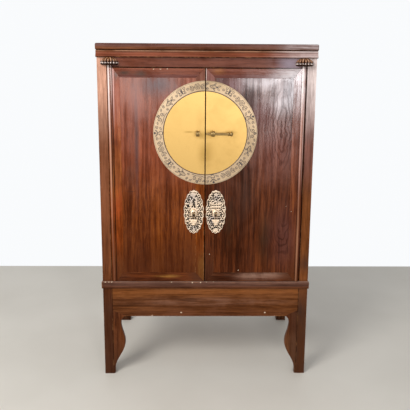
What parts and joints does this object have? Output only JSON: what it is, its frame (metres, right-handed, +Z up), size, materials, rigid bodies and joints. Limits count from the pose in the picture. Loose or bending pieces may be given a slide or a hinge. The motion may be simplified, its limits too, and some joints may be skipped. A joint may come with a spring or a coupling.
{
  "type": "chinese wedding cabinet",
  "caption": "Tall lacquered cupboard on shaped legs, with wooden-pivot doors, a split round brass medallion, a sliding lock pin and hinged drop pulls.",
  "frame": {"origin": "floor level, at the middle of the footprint box", "axes": "+Z up, the doors face -Y, +X to the right seen from the front"},
  "size_m": [1.123, 0.762, 1.8],
  "materials": {
    "lacquered_frame": "dark red-brown lacquer over elm, glossy, worn at the edges",
    "lacquered_panel": "dark red-brown lacquer over elm, glossy, vertical grain",
    "carved_wood": "carved and lacquered elm, rubbed on the high points",
    "raw_wood": "unlacquered elm boards, matt",
    "satin_brass": "satin sheet brass with light tarnish",
    "pale_brass": "pale engraved and pierced brass with dark recesses",
    "dark_brass": "cast brass, darkened by handling"
  },
  "bodies": {
    "carcass": {"top_board": "lacquered_frame", "cornice_front": "lacquered_frame", "cornice_left": "lacquered_frame", "cornice_right": "lacquered_frame", "front_post_left": "lacquered_frame", "front_post_right": "lacquered_frame", "rear_post_left": "lacquered_frame", "rear_post_right": "lacquered_frame", "frieze_rail": "lacquered_frame", "sill": "lacquered_frame", "base_moulding_left": "lacquered_frame", "base_moulding_right": "lacquered_frame", "side_top_rail_left": "lacquered_frame", "side_top_rail_right": "lacquered_frame", "side_bottom_rail_left": "lacquered_frame", "side_bottom_rail_right": "lacquered_frame", "side_apron_left": "lacquered_frame", "side_apron_right": "lacquered_frame", "side_panel_left": "lacquered_panel", "side_panel_right": "lacquered_panel", "back_top_rail": "lacquered_frame", "back_bottom_rail": "lacquered_frame", "rear_apron": "lacquered_frame", "back_panel": "lacquered_panel", "cupboard_floor": "raw_wood", "shelf": "raw_wood", "shelf_batten_left": "raw_wood", "shelf_batten_right": "raw_wood", "front_apron": "lacquered_frame", "leg_wing_left": "lacquered_frame", "leg_wing_right": "lacquered_frame", "pivot_cap_left": "carved_wood", "pivot_cap_right": "carved_wood"},
    "left_door": {"left_door_hinge_stile": "lacquered_frame", "left_door_meeting_stile": "lacquered_frame", "left_door_top_rail": "lacquered_frame", "left_door_bottom_rail": "lacquered_frame", "left_door_panel": "lacquered_panel", "left_medallion_disc": "satin_brass", "left_medallion_ring": "pale_brass", "left_lock_loop": "dark_brass", "left_pull_plate": "pale_brass", "left_pull_boss": "pale_brass"},
    "right_door": {"right_door_hinge_stile": "lacquered_frame", "right_door_meeting_stile": "lacquered_frame", "right_door_top_rail": "lacquered_frame", "right_door_bottom_rail": "lacquered_frame", "right_door_panel": "lacquered_panel", "right_medallion_disc": "satin_brass", "right_medallion_ring": "pale_brass", "right_lock_loop": "dark_brass", "right_pull_plate": "pale_brass", "right_pull_boss": "pale_brass"},
    "lock_pin": {"lock_pin": "dark_brass"},
    "left_pull": {"left_pull_drop": "pale_brass"},
    "right_pull": {"right_pull_drop": "pale_brass"}
  },
  "joints": [
    {"name": "left_door_hinge", "type": "hinge", "parent": "carcass", "child": "left_door", "pos_m": [-0.4925, -0.336, 0.548], "axis": [0, 0, -1], "range_deg": [0, 110]},
    {"name": "right_door_hinge", "type": "hinge", "parent": "carcass", "child": "right_door", "pos_m": [0.4925, -0.336, 0.548], "axis": [0, 0, 1], "range_deg": [0, 110]},
    {"name": "lock_pin_slide", "type": "slide", "parent": "right_door", "child": "lock_pin", "axis": [1, 0, 0], "range_m": [-0.063, 0]},
    {"name": "left_pull_swing", "type": "hinge", "parent": "left_door", "child": "left_pull", "pos_m": [-0.065, -0.3568, 0.93], "axis": [-1, 0, 0], "range_deg": [0, 80]},
    {"name": "right_pull_swing", "type": "hinge", "parent": "right_door", "child": "right_pull", "pos_m": [0.051, -0.3568, 0.93], "axis": [-1, 0, 0], "range_deg": [0, 80]}
  ]
}
